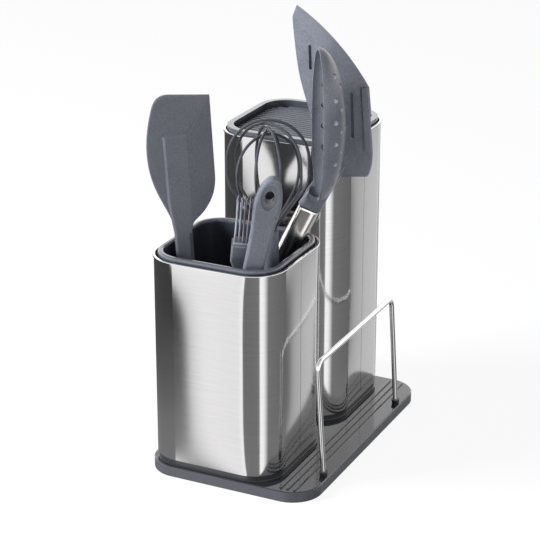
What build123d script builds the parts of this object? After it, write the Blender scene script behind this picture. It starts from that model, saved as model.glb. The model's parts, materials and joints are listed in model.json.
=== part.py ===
from build123d import *
from math import cos, radians, sin, sqrt, tan
import os

# A worktop organiser: a tray with a jar of cooking tools, a tall slatted knife block and a wire board rack.
# Millimetres. X runs to the right, Y to the back, Z up. The origin is the middle of the tray's underside.

os.makedirs("parts", exist_ok=True)


def save(part, label):
    """Name a finished piece and write its file."""
    part.label = label
    export_step(part, f"parts/{label}.step")


# Clearances shared by all pieces
seat_gap = 0.3
slide_fit = 0.3
running_fit = 0.05
cut_overrun = 2.0

# Base tray
base_width = 140.0
base_depth = 224.0
base_height = 8.4
base_corner = 24.0
base_bevel = 0.9
foot_diameter = 13.0
foot_thickness = 2.0
foot_bevel = 0.4
foot_inset = 22.0
plinth_height = 0.8
plinth_inset = 0.6
rib_first_x = 44.8
rib_pitch = 5.5
rib_count = 3
rib_width = 2.0
rib_height = 0.9
rib_end_margin = 5.0

tray_top_z = base_height
plinth_top_z = tray_top_z + plinth_height

# Steel sleeves of the two holders, which share one section
holder_x = -15.5
holder_half_width = 53.5
holder_half_depth = 52.0
holder_corner = 26.0
holder_gap = 13.0
holder_middle_y = 1.0
jar_steel_height = 162.0
knife_steel_height = 226.8
sleeve_wall = 1.0
lip_height = 1.7
lip_projection = 0.7
lip_round = 0.5
seam_width = 0.5
seam_depth = 0.35
seam_end_margin = 4.2

# Plastic bottoms of the holders
bottom_height = 4.0
bottom_inset = 0.6
bottom_plate_rise = 2.0
spigot_height = 9.0

sleeve_bottom_z = plinth_top_z + bottom_height
plate_top_z = sleeve_bottom_z + bottom_plate_rise
jar_top_z = sleeve_bottom_z + jar_steel_height
knife_top_z = sleeve_bottom_z + knife_steel_height
jar_y = holder_middle_y - holder_gap / 2 - holder_half_depth
knife_y = holder_middle_y + holder_gap / 2 + holder_half_depth
spacer_inset = sleeve_wall + slide_fit

# Jar liner
liner_wall = 2.2
liner_floor = 2.2
rim_inset = 2.9
rim_width = 4.7
rim_proud = 3.0
rim_height = 6.4
rim_round = 1.9
spacer_drop = 10.0
spacer_height = 3.0

liner_inner_inset = rim_inset + rim_width
liner_outer_inset = liner_inner_inset - liner_wall
liner_floor_z = plate_top_z + liner_floor
rim_top_z = jar_top_z + rim_proud
liner_half_width = holder_half_width - liner_inner_inset
liner_half_depth = holder_half_depth - liner_inner_inset

# Knife collar
collar_inset = 2.2
collar_width = 5.1
collar_proud = 3.3
collar_cap_height = 8.0
collar_depth = 20.0
collar_skirt = 2.0
collar_round = 0.5

collar_inner_inset = collar_inset + collar_width
collar_top_z = knife_top_z + collar_proud

# Knife cassette with its slats
cassette_fit = 0.6
cassette_wall = 1.4
cassette_floor = 2.0
cassette_drop = 14.0
slat_drop = 4.4
slat_thickness = 2.6
slat_pitch = 4.8
slat_count = 18
slat_bevel = 0.5

cassette_outer_inset = collar_inner_inset + cassette_fit
cassette_inner_inset = cassette_outer_inset + cassette_wall
cassette_floor_z = plate_top_z + cassette_floor
slat_top_z = collar_top_z - slat_drop

# Wire board rack
wire_diameter = 4.0
rack_x = 65.6
rack_y = -3.0
rack_half_span = 71.5
rack_height = 102.5
rack_lean = 3.6
rack_corner = 7.0
rack_root = 5.0
ferrule_top_diameter = 7.0
ferrule_base_diameter = 5.6
ferrule_height = 3.8

# Cooking tools: where each stands, as shares of the liner's half width and half depth, and how each turns
spatula_foot_shares = (-0.414, -0.610)
spatula_rim_shares = (-0.706, -0.511)
brush_foot_shares = (-0.122, -0.128)
brush_rim_shares = (0.462, -0.592)
small_tool_foot_shares = (-0.146, -0.712)
small_tool_rim_shares = (0.706, -0.827)
whisk_foot_shares = (0.824, -0.331)
whisk_rim_shares = (0.593, 0.009)
spoon_foot_shares = (-0.828, -0.155)
spoon_rim_shares = (0.760, 0.489)
turner_foot_shares = (-0.826, 0.088)
turner_rim_shares = (0.715, 0.745)
front_facing = 25.9
square_facing = 0.0

# Flat steel handles of the spoon, the turner and the spatula, each with a tang inside its head
steel_handle_width = 16.4
steel_handle_thickness = 7.0
steel_handle_edge = 3.3
tang_length = 9.0
tang_width = 9.0
tang_thickness = 3.6
hang_hole_diameter = 6.0
hang_hole_offset = 13.0

# Spatula
spatula_handle_length = 112.0
spatula_handle_width = 13.0
spatula_handle_thickness = 6.4
spatula_handle_edge = 2.8
spatula_neck_width = 13.4
spatula_neck_top = 172.0
spatula_head_width = 50.8
spatula_head_length = 105.0
spatula_thickness = 9.0
spatula_blade_thickness = 4.4
spatula_spine_width = 19.6
spatula_spine_length = 75.0
spatula_spine_rise = 24.0
spatula_spine_bevel = 2.0
spatula_edge = 1.3
spatula_left_shares = (
    (-0.132, 0.0),
    (-0.240, 0.19),
    (-0.392, 0.38),
    (-0.442, 0.62),
    (-0.340, 0.886),
    (-0.080, 1.0),
)
spatula_right_shares = ((0.524, 0.40), (0.450, 0.24), (0.262, 0.12), (0.132, 0.0))
spatula_corner_shares = (0.526, 0.983)

# Pastry brush
brush_handle_width = 11.0
brush_handle_thickness = 7.0
brush_handle_edge = 2.6
brush_head_width = 24.0
brush_head_thickness = 12.0
brush_head_bottom = 148.0
brush_shoulder = 163.0
brush_head_top = 177.0
brush_head_edge = 1.6
bristle_length = 36.4
bristle_width = 1.5
bristle_depth = 1.5
bristle_pitch_across = 2.5
bristle_pitch_deep = 2.7
bristle_columns = 9
bristle_rows = 4
bristle_slab = 2.0

# Small tool with a hanging hole, standing with its blade down
small_handle_start = 112.0
small_handle_length = 126.5
small_handle_half_width = 8.8
small_handle_thickness = 8.4
small_handle_edge = 2.4
small_handle_side_shares = ((0.74, 0.0), (0.86, 0.42), (1.0, 0.70), (0.86, 0.935))
small_hole_width = 7.0
small_hole_length = 10.4
small_hole_drop = 15.3
small_dish_width = 12.0
small_dish_length = 20.0
small_dish_depth = 1.2
small_blade_width = 13.0
small_blade_thickness = 2.0

# Whisk
whisk_handle_length = 175.0
whisk_handle_diameter = 15.0
whisk_neck_diameter = 13.0
whisk_neck_length = 36.0
whisk_foot_round = 5.0
whisk_wire_diameter = 2.2
whisk_loops = 5
whisk_loop_turn = 36.0
whisk_top_step = 2.7
whisk_side_step = 0.5
whisk_radius = 30.3
whisk_root_radius = 4.6
whisk_root_depth = 9.0
whisk_root_bend = 8.0
whisk_flare = 38.0
whisk_belly = 44.0
whisk_rise = 9.4

# Slotted spoon
spoon_handle_length = 208.0
spoon_neck_width = 17.4
spoon_neck_thickness = 9.6
spoon_neck_edge = 3.0
spoon_root_width = 13.0
spoon_root_thickness = 15.0
spoon_root_edge = 5.0
spoon_root_rise = 13.0
spoon_root_depth = 6.2
bowl_half_width = 28.0
bowl_half_length = 58.0
bowl_depth = 20.5
bowl_wall = 2.2
bowl_across = -24.4
bowl_along = 271.4
bowl_out = 8.4
bowl_facing = -56.0
bowl_hole_diameter = 4.2
bowl_hole_pitch = 16.2
bowl_hole_levels = ((-9.5, 6), (-14.5, 5), (-18.6, 3))
bowl_middle_holes = 4

# Turner
turner_handle_length = 203.0
turner_socket_length = 10.5
turner_neck_width = 17.0
turner_neck_thickness = 8.2
turner_neck_edge = 3.0
turner_root_thickness = 4.4
turner_root_edge = 1.2
turner_root_shift = 2.0
turner_root_rise = 22.0
turner_blade_x = 39.0
turner_blade_y = 0.5
turner_blade_z = 208.6
turner_blade_lean = 2.3
turner_blade_width = 62.0
turner_blade_length = 142.8
turner_blade_thickness = 2.6
turner_left_shares = (
    (-0.105, 0.08),
    (-0.237, 0.33),
    (-0.324, 0.468),
    (-0.411, 0.607),
    (-0.466, 0.774),
    (-0.494, 0.942),
)
turner_front_shares = ((-0.445, 1.0), (0.161, 0.777), (0.474, 0.592))
turner_right_shares = ((0.492, 0.471), (0.503, 0.248), (0.482, 0.163), (0.437, 0.111))
turner_bottom_shares = (0.105, 0.095)
turner_flange_width = 4.6
turner_flange_height = 2.6
turner_slot_width = 2.4
turner_slot_web = 0.8
turner_bevel_width = 11.0
turner_bevel_depth = 1.9
turner_slot_shares = ((-0.274, 0.665, 0.797), (-0.10, 0.49, 0.73), (0.08, 0.35, 0.66), (0.26, 0.315, 0.56))


def holder_outline(inset):
    """The holders' rounded section, drawn in from the steel's outer face by an inset."""
    RectangleRounded(
        2 * (holder_half_width - inset), 2 * (holder_half_depth - inset), holder_corner - inset
    )


def holder_level(centre_y, level):
    """The plane of a holder's section at a height."""
    return Plane(origin=(holder_x, centre_y, level))


def stance(foot_shares, rim_shares, facing, foot_radius, half_thickness):
    """A tool's own plane: x across it, y along it, z out of its face, its foot just off the liner floor."""
    foot, rim = (
        Vector(holder_x + shares[0] * liner_half_width, jar_y + shares[1] * liner_half_depth, level)
        for shares, level in ((foot_shares, liner_floor_z), (rim_shares, rim_top_z))
    )
    along = (rim - foot).normalized()
    face = Vector(sin(radians(facing)), -cos(radians(facing)), 0)
    out = (face - along * face.dot(along)).normalized()
    across = along.cross(out)
    drop = foot_radius * (sqrt(1 - out.Z**2) - along.Z) + half_thickness * abs(out.Z) + seat_gap
    return Plane(origin=foot + along * (drop / along.Z), x_dir=across, z_dir=out)


# Base tray
with BuildPart() as base_tray:
    with BuildSketch():
        RectangleRounded(base_width, base_depth, base_corner)
    extrude(amount=base_height)
    chamfer(base_tray.edges().group_by(Axis.Z)[-1], base_bevel)
    for centre_y in (jar_y, knife_y):
        with BuildSketch(holder_level(centre_y, tray_top_z)):
            holder_outline(plinth_inset)
        extrude(amount=plinth_height)
    rib_length = base_depth - 2 * rib_end_margin
    for index in range(rib_count):
        rib_x = rib_first_x + index * rib_pitch
        with BuildSketch(Plane(origin=(rib_x, 0, tray_top_z))):
            SlotOverall(rib_length, rib_width, rotation=90)
        extrude(amount=rib_height)
    foot_x = base_width / 2 - foot_inset
    foot_y = base_depth / 2 - foot_inset
    with BuildSketch():
        with GridLocations(2 * foot_x, 2 * foot_y, 2, 2):
            Circle(foot_diameter / 2 + running_fit)
    extrude(amount=foot_thickness, mode=Mode.SUBTRACT)
    leg_lean = Vector(-sin(radians(rack_lean)), 0, cos(radians(rack_lean)))
    for side in (-1, 1):
        leg_base = Vector(rack_x, rack_y + side * rack_half_span, tray_top_z)
        with BuildSketch(Plane(origin=leg_base + leg_lean * ferrule_height, z_dir=leg_lean)):
            Circle(wire_diameter / 2 + running_fit)
        extrude(amount=-(ferrule_height + rack_root + seat_gap), mode=Mode.SUBTRACT)
save(base_tray.part, "base_tray")

with BuildPart() as base_feet:
    with BuildSketch():
        with GridLocations(2 * foot_x, 2 * foot_y, 2, 2):
            Circle(foot_diameter / 2)
    extrude(amount=foot_thickness)
    chamfer(base_feet.edges().group_by(Axis.Z)[0], foot_bevel)
save(base_feet.part, "base_feet")

# Wire board rack: one bent wire, held in a ferrule at each foot
rack_plane = Plane(
    origin=(rack_x, rack_y, tray_top_z),
    x_dir=(0, 1, 0),
    z_dir=(cos(radians(rack_lean)), 0, sin(radians(rack_lean))),
)
rack_rise = (rack_height - tray_top_z) / cos(radians(rack_lean)) - wire_diameter / 2
with BuildPart() as rack_wire:
    with BuildLine(rack_plane) as rack_path:
        FilletPolyline(
            (-rack_half_span, -rack_root),
            (-rack_half_span, rack_rise),
            (rack_half_span, rack_rise),
            (rack_half_span, -rack_root),
            radius=rack_corner,
        )
    with BuildSketch(Plane(origin=rack_path.line @ 0, z_dir=rack_path.line % 0)):
        Circle(wire_diameter / 2)
    sweep()
save(rack_wire.part, "rack_wire")

with BuildPart() as rack_ferrules:
    for side in (-1, 1):
        ferrule_y = rack_y + side * rack_half_span
        with BuildSketch(Plane(origin=(rack_x, ferrule_y, tray_top_z))):
            Circle(ferrule_base_diameter / 2)
        with BuildSketch(Plane(origin=(rack_x, ferrule_y, tray_top_z + ferrule_height))):
            Circle(ferrule_top_diameter / 2)
        loft()
    for side in (-1, 1):
        leg_base = Vector(rack_x, rack_y + side * rack_half_span, tray_top_z)
        with BuildSketch(Plane(origin=leg_base - leg_lean * cut_overrun, z_dir=leg_lean)):
            Circle(wire_diameter / 2 + running_fit)
        extrude(amount=ferrule_height + 2 * cut_overrun, mode=Mode.SUBTRACT)
save(rack_ferrules.part, "rack_ferrules")

# Steel sleeves with their rolled lips and side seams
for holder, centre_y, top_z in (("jar", jar_y, jar_top_z), ("knife", knife_y, knife_top_z)):
    with BuildPart() as sleeve:
        with BuildSketch(holder_level(centre_y, sleeve_bottom_z)):
            holder_outline(0)
        extrude(amount=top_z - sleeve_bottom_z)
        with BuildSketch(holder_level(centre_y, top_z - lip_height)):
            holder_outline(-lip_projection)
        extrude(amount=lip_height)
        fillet(sleeve.edges().group_by(Axis.Z)[-1], lip_round)
        with BuildSketch(holder_level(centre_y, sleeve_bottom_z)):
            holder_outline(sleeve_wall)
        extrude(amount=top_z - sleeve_bottom_z, mode=Mode.SUBTRACT)
        seam_length = top_z - sleeve_bottom_z - 2 * seam_end_margin
        seam_plane = Plane(
            origin=(holder_x + holder_half_width, centre_y, (top_z + sleeve_bottom_z) / 2),
            x_dir=(0, 1, 0),
            z_dir=(1, 0, 0),
        )
        with BuildSketch(seam_plane):
            Rectangle(seam_width, seam_length)
        extrude(amount=-seam_depth, mode=Mode.SUBTRACT)
    save(sleeve.part, f"{holder}_sleeve")

# Plastic bottoms: a plate with a spigot that centres the sleeve outside and the liner or cassette inside
for holder, centre_y, seat_inset in (
    ("jar", jar_y, liner_outer_inset),
    ("knife", knife_y, cassette_outer_inset),
):
    with BuildPart() as bottom:
        with BuildSketch(holder_level(centre_y, plinth_top_z)):
            holder_outline(bottom_inset)
        extrude(amount=bottom_height)
        with BuildSketch(holder_level(centre_y, sleeve_bottom_z)):
            holder_outline(spacer_inset)
        extrude(amount=spigot_height)
        with BuildSketch(holder_level(centre_y, plate_top_z)):
            holder_outline(seat_inset - slide_fit)
        extrude(amount=spigot_height, mode=Mode.SUBTRACT)
    save(bottom.part, f"{holder}_bottom")

# Jar liner: a tub whose rolled rim stands above the steel
with BuildPart() as jar_liner:
    with BuildSketch(holder_level(jar_y, plate_top_z)):
        holder_outline(liner_outer_inset)
    extrude(amount=rim_top_z - plate_top_z)
    with BuildSketch(holder_level(jar_y, rim_top_z - rim_height)):
        holder_outline(rim_inset)
    extrude(amount=rim_height)
    with BuildSketch(holder_level(jar_y, rim_top_z - spacer_drop - spacer_height)):
        holder_outline(spacer_inset)
    extrude(amount=spacer_height)
    with BuildSketch(holder_level(jar_y, liner_floor_z)):
        holder_outline(liner_inner_inset)
    extrude(amount=rim_top_z - liner_floor_z, mode=Mode.SUBTRACT)
    fillet(jar_liner.edges().group_by(Axis.Z)[-1], rim_round)
save(jar_liner.part, "jar_liner")

# Knife collar: a flat glossy frame with a skirt and a spacer inside the steel
with BuildPart() as knife_collar:
    with BuildSketch(holder_level(knife_y, collar_top_z - collar_cap_height)):
        holder_outline(collar_inset)
    extrude(amount=collar_cap_height)
    fillet(knife_collar.edges().group_by(Axis.Z)[-1], collar_round)
    with BuildSketch(holder_level(knife_y, collar_top_z - collar_depth)):
        holder_outline(collar_inner_inset - collar_skirt)
    extrude(amount=collar_depth)
    with BuildSketch(holder_level(knife_y, collar_top_z - collar_depth)):
        holder_outline(spacer_inset)
    extrude(amount=spacer_height)
    with BuildSketch(holder_level(knife_y, collar_top_z - collar_depth)):
        holder_outline(collar_inner_inset)
    extrude(amount=collar_depth, mode=Mode.SUBTRACT)
save(knife_collar.part, "knife_collar")

# Knife cassette: a tub that lifts out with its slats for washing
with BuildPart() as knife_cassette:
    cassette_top_z = collar_top_z - cassette_drop
    with BuildSketch(holder_level(knife_y, plate_top_z)):
        holder_outline(cassette_outer_inset)
    extrude(amount=cassette_top_z - plate_top_z)
    with BuildSketch(holder_level(knife_y, cassette_floor_z)):
        holder_outline(cassette_inner_inset)
    extrude(amount=cassette_top_z - cassette_floor_z, mode=Mode.SUBTRACT)
save(knife_cassette.part, "knife_cassette")

with BuildPart() as knife_slats:
    slot_corner = holder_corner - cassette_inner_inset
    slot_half_width = holder_half_width - cassette_inner_inset
    straight_half_depth = holder_half_depth - cassette_inner_inset - slot_corner
    for index in range(slat_count):
        slat_y = (index - (slat_count - 1) / 2) * slat_pitch
        into_corner = max(0, abs(slat_y) + slat_thickness / 2 - straight_half_depth)
        slat_half_length = (
            slot_half_width - slot_corner + sqrt(slot_corner**2 - into_corner**2) - seat_gap
        )
        with BuildSketch(holder_level(knife_y + slat_y, cassette_floor_z)):
            Rectangle(2 * slat_half_length, slat_thickness)
        extrude(amount=slat_top_z - cassette_floor_z)
    slat_tops = knife_slats.edges().group_by(Axis.Z)[-1].filter_by(Axis.X)
    chamfer(slat_tops, slat_bevel)
save(knife_slats.part, "knife_slats")


def cross_plane(plane, along):
    """The plane square to a tool at a distance along it, with x across the tool."""
    return Plane(origin=plane.from_local_coords((0, along, 0)), x_dir=plane.x_dir, z_dir=plane.y_dir)


def flat_handle(plane, length, width, thickness, edge):
    """A flat handle with a round foot, a hanging hole above it, rounded edges and a tang for its head."""
    with BuildPart() as handle:
        with BuildSketch(plane):
            with BuildLine():
                Line((-width / 2, width / 2), (-width / 2, length))
                Line((-width / 2, length), (width / 2, length))
                Line((width / 2, length), (width / 2, width / 2))
                ThreePointArc((width / 2, width / 2), (0, 0), (-width / 2, width / 2))
            make_face()
        extrude(amount=thickness / 2, both=True)
        fillet(handle.faces().sort_by(SortBy.AREA)[-2:].edges(), edge)
        with BuildSketch(cross_plane(plane, length)):
            Rectangle(tang_width, tang_thickness)
        extrude(amount=tang_length)
        with BuildSketch(plane):
            with Locations((0, hang_hole_offset)):
                Circle(hang_hole_diameter / 2)
        extrude(amount=thickness, both=True, mode=Mode.SUBTRACT)
    return handle.part


def scaled(shares, width, length, start=0):
    """Points of an outline from their shares of a width and a length."""
    return [(across * width, start + along * length) for across, along in shares]


# Spatula: a soft head and neck in one piece on a steel handle, its faces sloping from the spine to one side
spatula_plane = stance(
    spatula_foot_shares,
    spatula_rim_shares,
    front_facing,
    spatula_handle_width / 2,
    spatula_handle_thickness / 2,
)
spatula_handle = flat_handle(
    spatula_plane, spatula_handle_length, spatula_handle_width, spatula_handle_thickness, spatula_handle_edge
)
save(spatula_handle, "spatula_handle")

left = scaled(spatula_left_shares, spatula_head_width, spatula_head_length, spatula_neck_top)
right = scaled(spatula_right_shares, spatula_head_width, spatula_head_length, spatula_neck_top)
corner = scaled([spatula_corner_shares], spatula_head_width, spatula_head_length, spatula_neck_top)[0]
with BuildSketch(spatula_plane) as spatula_outline:
    with BuildLine():
        Spline(*left, tangents=((0, 1), (1, 0)))
        Polyline(left[-1], corner, right[0])
        Spline(*right, tangents=((0, -1), (0, -1)))
        Line(right[-1], left[0])
    make_face()

spine_top = spatula_neck_top + spatula_spine_length
spine_foot = spatula_neck_top + spatula_spine_rise
ridge_half_width = spatula_spine_width / 2 - spatula_spine_bevel
with BuildPart() as spatula_slope:
    extrude(spatula_outline.sketch, amount=spatula_thickness / 2, both=True)
    with BuildSketch(cross_plane(spatula_plane, spatula_neck_top)):
        Polygon(
            (0, spatula_thickness / 2),
            (ridge_half_width, spatula_thickness / 2),
            (corner[0], spatula_blade_thickness / 2),
            (corner[0], -spatula_blade_thickness / 2),
            (ridge_half_width, -spatula_thickness / 2),
            (0, -spatula_thickness / 2),
            align=None,
        )
    extrude(amount=spatula_head_length, mode=Mode.INTERSECT)
    with BuildSketch(spatula_plane):
        Polygon(
            (-cut_overrun, spine_top - spatula_spine_bevel),
            (ridge_half_width, spine_top - spatula_spine_bevel),
            corner,
            (corner[0], corner[1] + cut_overrun),
            (-cut_overrun, corner[1] + cut_overrun),
            align=None,
        )
    extrude(amount=spatula_thickness, both=True, mode=Mode.SUBTRACT)

with BuildPart() as spatula_head:
    extrude(spatula_outline.sketch, amount=spatula_blade_thickness / 2, both=True)
    fillet(spatula_head.faces().sort_by(SortBy.AREA)[-2:].edges(), spatula_edge)
    with BuildSketch(spatula_plane):
        with BuildLine():
            Polyline(
                (-spatula_neck_width / 2, spatula_handle_length),
                (-spatula_neck_width / 2, spatula_neck_top),
                (-spatula_spine_width / 2, spine_foot),
                (-spatula_spine_width / 2, spine_top),
                (spatula_spine_width / 2, spine_top),
                (spatula_spine_width / 2, spine_foot),
                (spatula_neck_width / 2, spatula_neck_top),
                (spatula_neck_width / 2, spatula_handle_length),
                close=True,
            )
        make_face()
    extrude(amount=spatula_thickness / 2, both=True)
    spine_faces = [
        face
        for face in spatula_head.faces()
        if abs(abs(spatula_plane.to_local_coords(face.center()).Z) - spatula_thickness / 2) < running_fit
    ]
    chamfer([edge for face in spine_faces for edge in face.edges()], spatula_spine_bevel)
    add(spatula_slope.part)
    with BuildSketch(cross_plane(spatula_plane, spatula_handle_length)):
        Rectangle(tang_width + 2 * running_fit, tang_thickness + 2 * running_fit)
    extrude(amount=tang_length + seat_gap, mode=Mode.SUBTRACT)
save(spatula_head.part, "spatula_head")

# Pastry brush: a flat handle, a head block and soft bristles on a slab set on the block
brush_plane = stance(
    brush_foot_shares, brush_rim_shares, front_facing, brush_handle_width / 2, brush_handle_thickness / 2
)
brush_handle = flat_handle(
    brush_plane, brush_head_bottom, brush_handle_width, brush_handle_thickness, brush_handle_edge
)
save(brush_handle, "brush_handle")

with BuildPart() as brush_head:
    with BuildSketch(brush_plane):
        with BuildLine():
            Polyline(
                (-brush_handle_width / 2, brush_head_bottom),
                (-brush_head_width / 2, brush_shoulder),
                (-brush_head_width / 2, brush_head_top),
                (brush_head_width / 2, brush_head_top),
                (brush_head_width / 2, brush_shoulder),
                (brush_handle_width / 2, brush_head_bottom),
                close=True,
            )
        make_face()
    extrude(amount=brush_head_thickness / 2, both=True)
    fillet(brush_head.faces().sort_by(SortBy.AREA)[-2:].edges(), brush_head_edge)
    with BuildSketch(cross_plane(brush_plane, brush_head_bottom)):
        Rectangle(tang_width + 2 * running_fit, tang_thickness + 2 * running_fit)
    extrude(amount=tang_length + seat_gap, mode=Mode.SUBTRACT)
save(brush_head.part, "brush_head")

with BuildPart() as brush_bristles:
    with BuildSketch(cross_plane(brush_plane, brush_head_top)):
        RectangleRounded(
            brush_head_width - 2 * brush_head_edge,
            brush_head_thickness - 2 * brush_head_edge,
            brush_head_edge,
        )
    extrude(amount=bristle_slab)
    with BuildSketch(cross_plane(brush_plane, brush_head_top + bristle_slab / 2)):
        with GridLocations(bristle_pitch_across, bristle_pitch_deep, bristle_columns, bristle_rows):
            Rectangle(bristle_width, bristle_depth)
    extrude(amount=bristle_length)
save(brush_bristles.part, "brush_bristles")

# Small tool: a moulded handle with a dished hanging hole, on a plain steel blade
small_tool_plane = stance(
    small_tool_foot_shares,
    small_tool_rim_shares,
    front_facing,
    small_blade_width / 2,
    small_blade_thickness / 2,
)
with BuildPart() as small_tool_blade:
    half_blade = small_blade_width / 2
    with BuildSketch(small_tool_plane):
        with BuildLine():
            Line((-half_blade, half_blade), (-half_blade, small_handle_start))
            Line((-half_blade, small_handle_start), (half_blade, small_handle_start))
            Line((half_blade, small_handle_start), (half_blade, half_blade))
            ThreePointArc((half_blade, half_blade), (0, 0), (-half_blade, half_blade))
        make_face()
    extrude(amount=small_blade_thickness / 2, both=True)
    with BuildSketch(cross_plane(small_tool_plane, small_handle_start)):
        Rectangle(tang_width, small_blade_thickness)
    extrude(amount=tang_length)
save(small_tool_blade.part, "small_tool_blade")

with BuildPart() as small_tool_handle:
    side = scaled(small_handle_side_shares, small_handle_half_width, small_handle_length, small_handle_start)
    other_side = [(-across, along) for across, along in side]
    small_tool_top = small_handle_start + small_handle_length
    with BuildSketch(small_tool_plane):
        with BuildLine():
            Spline(*side, (0, small_tool_top), tangents=((0, 1), (-1, 0)))
            Spline(*other_side, (0, small_tool_top), tangents=((0, 1), (1, 0)))
            Line(other_side[0], side[0])
        make_face()
    extrude(amount=small_handle_thickness / 2, both=True)
    fillet(small_tool_handle.faces().sort_by(SortBy.AREA)[-2:].edges(), small_handle_edge)
    hole_along = small_tool_top - small_hole_drop
    with BuildSketch(small_tool_plane.offset(small_handle_thickness / 2)):
        with Locations((0, hole_along)):
            Ellipse(small_dish_width / 2, small_dish_length / 2)
    extrude(amount=-small_dish_depth, mode=Mode.SUBTRACT)
    with BuildSketch(small_tool_plane):
        with Locations((0, hole_along)):
            Ellipse(small_hole_width / 2, small_hole_length / 2)
    extrude(amount=small_handle_thickness, both=True, mode=Mode.SUBTRACT)
    with BuildSketch(cross_plane(small_tool_plane, small_handle_start)):
        Rectangle(tang_width + 2 * running_fit, small_blade_thickness + 2 * running_fit)
    extrude(amount=tang_length + seat_gap, mode=Mode.SUBTRACT)
save(small_tool_handle.part, "small_tool_handle")

# Whisk: wire loops that cross at the top, one under another, rooted in a round handle
whisk_plane = stance(
    whisk_foot_shares,
    whisk_rim_shares,
    front_facing,
    whisk_handle_diameter / 2,
    whisk_handle_diameter / 2 - whisk_foot_round,
)
with BuildPart() as whisk_handle:
    with BuildSketch(whisk_plane):
        with BuildLine():
            Line((0, 0), (whisk_handle_diameter / 2 - whisk_foot_round, 0))
            RadiusArc(
                (whisk_handle_diameter / 2 - whisk_foot_round, 0),
                (whisk_handle_diameter / 2, whisk_foot_round),
                -whisk_foot_round,
            )
            Polyline(
                (whisk_handle_diameter / 2, whisk_foot_round),
                (whisk_handle_diameter / 2, whisk_handle_length - whisk_neck_length),
                (whisk_neck_diameter / 2, whisk_handle_length),
                (0, whisk_handle_length),
                (0, 0),
            )
        make_face()
    revolve(axis=Axis(whisk_plane.origin, whisk_plane.y_dir))
    with BuildSketch(cross_plane(whisk_plane, whisk_handle_length)):
        with PolarLocations(whisk_root_radius, 2 * whisk_loops):
            Circle(whisk_wire_diameter / 2 + running_fit)
    extrude(amount=-(whisk_root_depth + seat_gap), mode=Mode.SUBTRACT)
save(whisk_handle.part, "whisk_handle")

with BuildPart() as whisk_wires:
    flare = radians(whisk_flare)
    belly_along = whisk_handle_length + whisk_belly
    for index in range(whisk_loops):
        loop_radius = whisk_radius - index * whisk_side_step
        loop_rise = whisk_rise - index * (whisk_top_step - whisk_side_step)
        top_along = belly_along + loop_rise
        bend_x = whisk_root_radius + whisk_root_bend * (1 - cos(flare))
        bend_along = whisk_handle_length + whisk_root_bend * sin(flare)
        side_reach = tan(flare) * (belly_along - bend_along) - (loop_radius - bend_x)
        belly_radius = side_reach * cos(flare) / (1 - cos(flare))
        loop_turn = radians(index * whisk_loop_turn)
        loop_across = whisk_plane.x_dir * cos(loop_turn) + whisk_plane.z_dir * sin(loop_turn)
        loop_plane = Plane(
            origin=whisk_plane.origin, x_dir=loop_across, z_dir=loop_across.cross(whisk_plane.y_dir)
        )
        with BuildLine(loop_plane) as loop_path:
            for side in (-1, 1):
                root, mid_bend, end_bend = (
                    (
                        side * (whisk_root_radius + whisk_root_bend * (1 - cos(angle))),
                        whisk_handle_length + whisk_root_bend * sin(angle),
                    )
                    for angle in (0, flare / 2, flare)
                )
                shoulder, mid_belly, widest = (
                    (
                        side * (loop_radius - belly_radius * (1 - cos(angle))),
                        belly_along - belly_radius * sin(angle),
                    )
                    for angle in (flare, flare / 2, 0)
                )
                Line((root[0], whisk_handle_length - whisk_root_depth), root)
                ThreePointArc(root, mid_bend, end_bend)
                Line(end_bend, shoulder)
                ThreePointArc(shoulder, mid_belly, widest)
                Line(widest, (widest[0], top_along))
            ThreePointArc((-loop_radius, top_along), (0, top_along + loop_radius), (loop_radius, top_along))
        loop_foot = whisk_handle_length - whisk_root_depth
        loop_start = loop_plane.from_local_coords((-whisk_root_radius, loop_foot, 0))
        with BuildSketch(Plane(origin=loop_start, z_dir=loop_plane.y_dir)):
            Circle(whisk_wire_diameter / 2)
        sweep()
save(whisk_wires.part, "whisk_wires")

def hole_row(count):
    """Places of a row of the bowl's holes along it, evenly about its middle."""
    return [(index - (count - 1) / 2) * bowl_hole_pitch for index in range(count)]


def bowl_hole_across(along, level):
    """How far from the bowl's middle line its outside reaches a level, at a distance along it."""
    return bowl_half_width * sqrt(1 - (along / bowl_half_length) ** 2 - (level / bowl_depth) ** 2)


def bowl_hole_depth(along):
    """The level of the bowl's outside on its middle line, at a distance along it."""
    return -bowl_depth * sqrt(1 - (along / bowl_half_length) ** 2)


def bowl_hole_plane(across, along, level):
    """The plane square to the bowl's wall at a point of its outside, in the bowl's own axes."""
    square = Vector(across / bowl_half_width**2, along / bowl_half_length**2, level / bowl_depth**2)
    return Plane(origin=(across, along, level), z_dir=square)


# Slotted spoon: a deep bowl that stands nearly upright on a leaning handle
spoon_plane = stance(
    spoon_foot_shares, spoon_rim_shares, front_facing, steel_handle_width / 2, steel_handle_thickness / 2
)
spoon_handle = flat_handle(
    spoon_plane, spoon_handle_length, steel_handle_width, steel_handle_thickness, steel_handle_edge
)
save(spoon_handle, "spoon_handle")

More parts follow.
